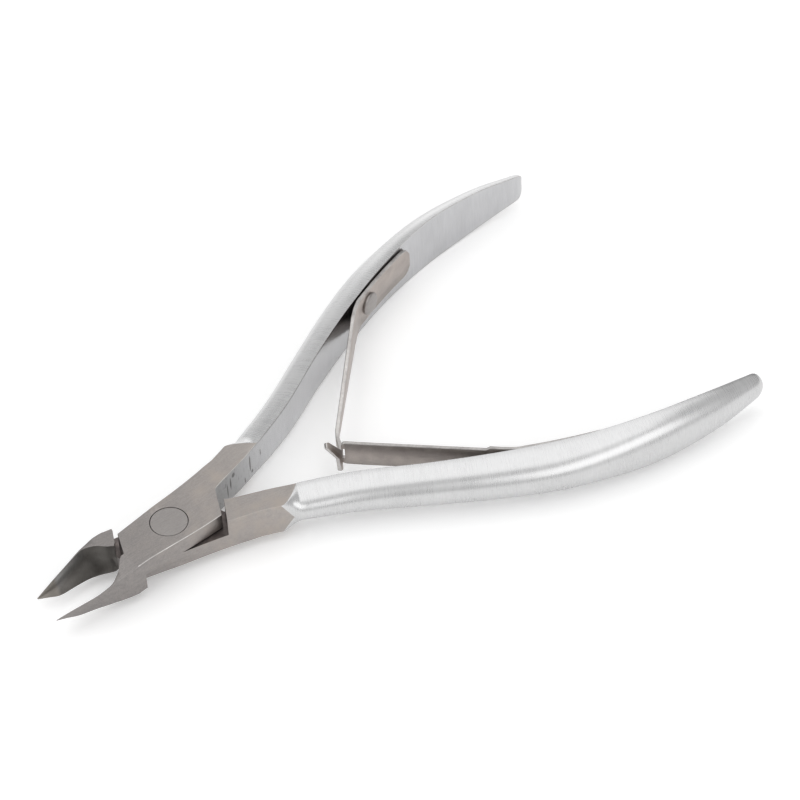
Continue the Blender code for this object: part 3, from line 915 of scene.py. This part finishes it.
def makeFloor():
    low = cadBounds[0][2] - floorLook["below"]
    half = floorLook["size"] / 2
    mesh = bmesh.new()
    corners = ((-half, -half), (half, -half), (half, half), (-half, half))
    mesh.faces.new([mesh.verts.new((x, y, low)) for x, y in corners])
    material = bpy.data.materials.new("paper")
    material.use_nodes = True
    shader = material.node_tree.nodes["Principled BSDF"]
    shader.inputs["Base Color"].default_value = floorLook["colour"]
    shader.inputs["Roughness"].default_value = floorLook["rough"]
    shader.inputs["Specular IOR Level"].default_value = floorLook["specular"]
    shader.inputs["Emission Color"].default_value = floorLook["colour"]
    shader.inputs["Emission Strength"].default_value = floorLook["glow"]
    addPiece("floor", mesh, [material])


lights = {
    "world": 0.6,
    "patches": (  # towards, cosines of the outer and inner reach, extra brightness
        ((0.60, 0.79, 0.12), 0.84, 0.96, 0.9),
        ((0.78, 0.50, 0.38), 0.90, 0.98, -0.42),
        ((0.10, -0.85, 0.45), 0.60, 0.90, 0.12),
    ),
    "boxes": (  # name, place, width, height, watts, in metres
        ("overhead", (0.05, 0.05, 0.9), 1.2, 1.2, 3.6),
        ("front", (0.1, -0.9, 0.5), 0.9, 0.5, 1.5),
        ("left", (-0.8, 0.0, 0.35), 0.4, 0.6, 0.6),
    ),
    "target": (0.03, 0.0, 0.0),
}


def makeWorld():
    # an even studio, brighter behind the nipper, with a dark flag beyond the handle's end
    world = bpy.data.worlds.new("studio")
    bpy.context.scene.world = world
    world.use_nodes = True
    tools = Wire(world.node_tree)
    towards = tools.make("ShaderNodeTexCoord", {}, {}, "Generated")
    strength = lights["world"]
    for direction, outer, inner, extra in lights["patches"]:
        strength = strength + towards.facing(direction).between(outer, inner) * extra
    background = world.node_tree.nodes["Background"]
    background.inputs["Color"].default_value = (1.0, 1.0, 1.0, 1.0)
    world.node_tree.links.new(strength.socket, background.inputs["Strength"])


def makeLights():
    for name, spot, width, height, watts in lights["boxes"]:
        lamp = bpy.data.lights.new(name, "AREA")
        lamp.shape = "RECTANGLE"
        lamp.size, lamp.size_y, lamp.energy = width, height, watts
        holder = bpy.data.objects.new(name, lamp)
        holder.location = spot
        aim = Vector(lights["target"]) - Vector(spot)
        holder.rotation_euler = aim.to_track_quat("-Z", "Y").to_euler()
        bpy.context.scene.collection.objects.link(holder)


view = {
    "azimuth": -34.439, "elevation": 45.154, "roll": -2.652,  # degrees
    "lens": 137.6, "sensor": 36.0, "spot": (-128.85, -242.88, 300.29), "nearest": 0.01, "furthest": 10.0,
}


def makeCamera():
    azimuth, elevation = math.radians(view["azimuth"]), math.radians(view["elevation"])
    level = math.cos(elevation)
    back = Vector((math.sin(azimuth) * level, -math.cos(azimuth) * level, math.sin(elevation)))
    right = Vector((0, 0, 1)).cross(back).normalized()
    up = back.cross(right)
    roll = math.radians(view["roll"])
    right, up = right * math.cos(roll) + up * math.sin(roll), up * math.cos(roll) - right * math.sin(roll)
    lens = bpy.data.cameras.new("camera")
    lens.lens, lens.sensor_width = view["lens"], view["sensor"]
    lens.clip_start, lens.clip_end = view["nearest"], view["furthest"]
    camera = bpy.data.objects.new("camera", lens)
    turned = Matrix((right, up, back)).transposed().to_4x4()
    camera.matrix_world = Matrix.Translation(Vector(view["spot"]) * mm) @ turned
    bpy.context.scene.collection.objects.link(camera)
    bpy.context.scene.camera = camera


cutters = []
finishes = {
    "groundSteel": groundSteel(),
    "handleSteel": handleSteel(),
    "innerSteel": innerSteel(),
    "hollowDarkReflectionSteel": hollowDarkReflectionSteel(),
    "edgeWearAndHighlightSteel": edgeWearAndHighlightSteel(),
    "recessShadeSteel": recessShadeSteel(),
    "leafSteel": leafSteel(),
    "rivetSteel": rivetSteel(),
}
# the leaf's edges share the rubbed and painted-highlight edge finish
finishes["leafEdgeHighlight"] = finishes["edgeWearAndHighlightSteel"]
print("finishes made")
makeLever("lower_lever", -1, "lower_half")
makeLever("upper_lever", 1, "upper_half")
makePivot()
makeUpperLeaf()
makeLowerLeaf()
makeLeafRivet("lower_spring_rivet", -1, "lower_half")
makeLeafRivet("upper_spring_rivet", 1, "upper_half")
makeFloor()
makeWorld()
makeLights()
makeCamera()
bpy.context.scene.view_settings.view_transform = "Standard"
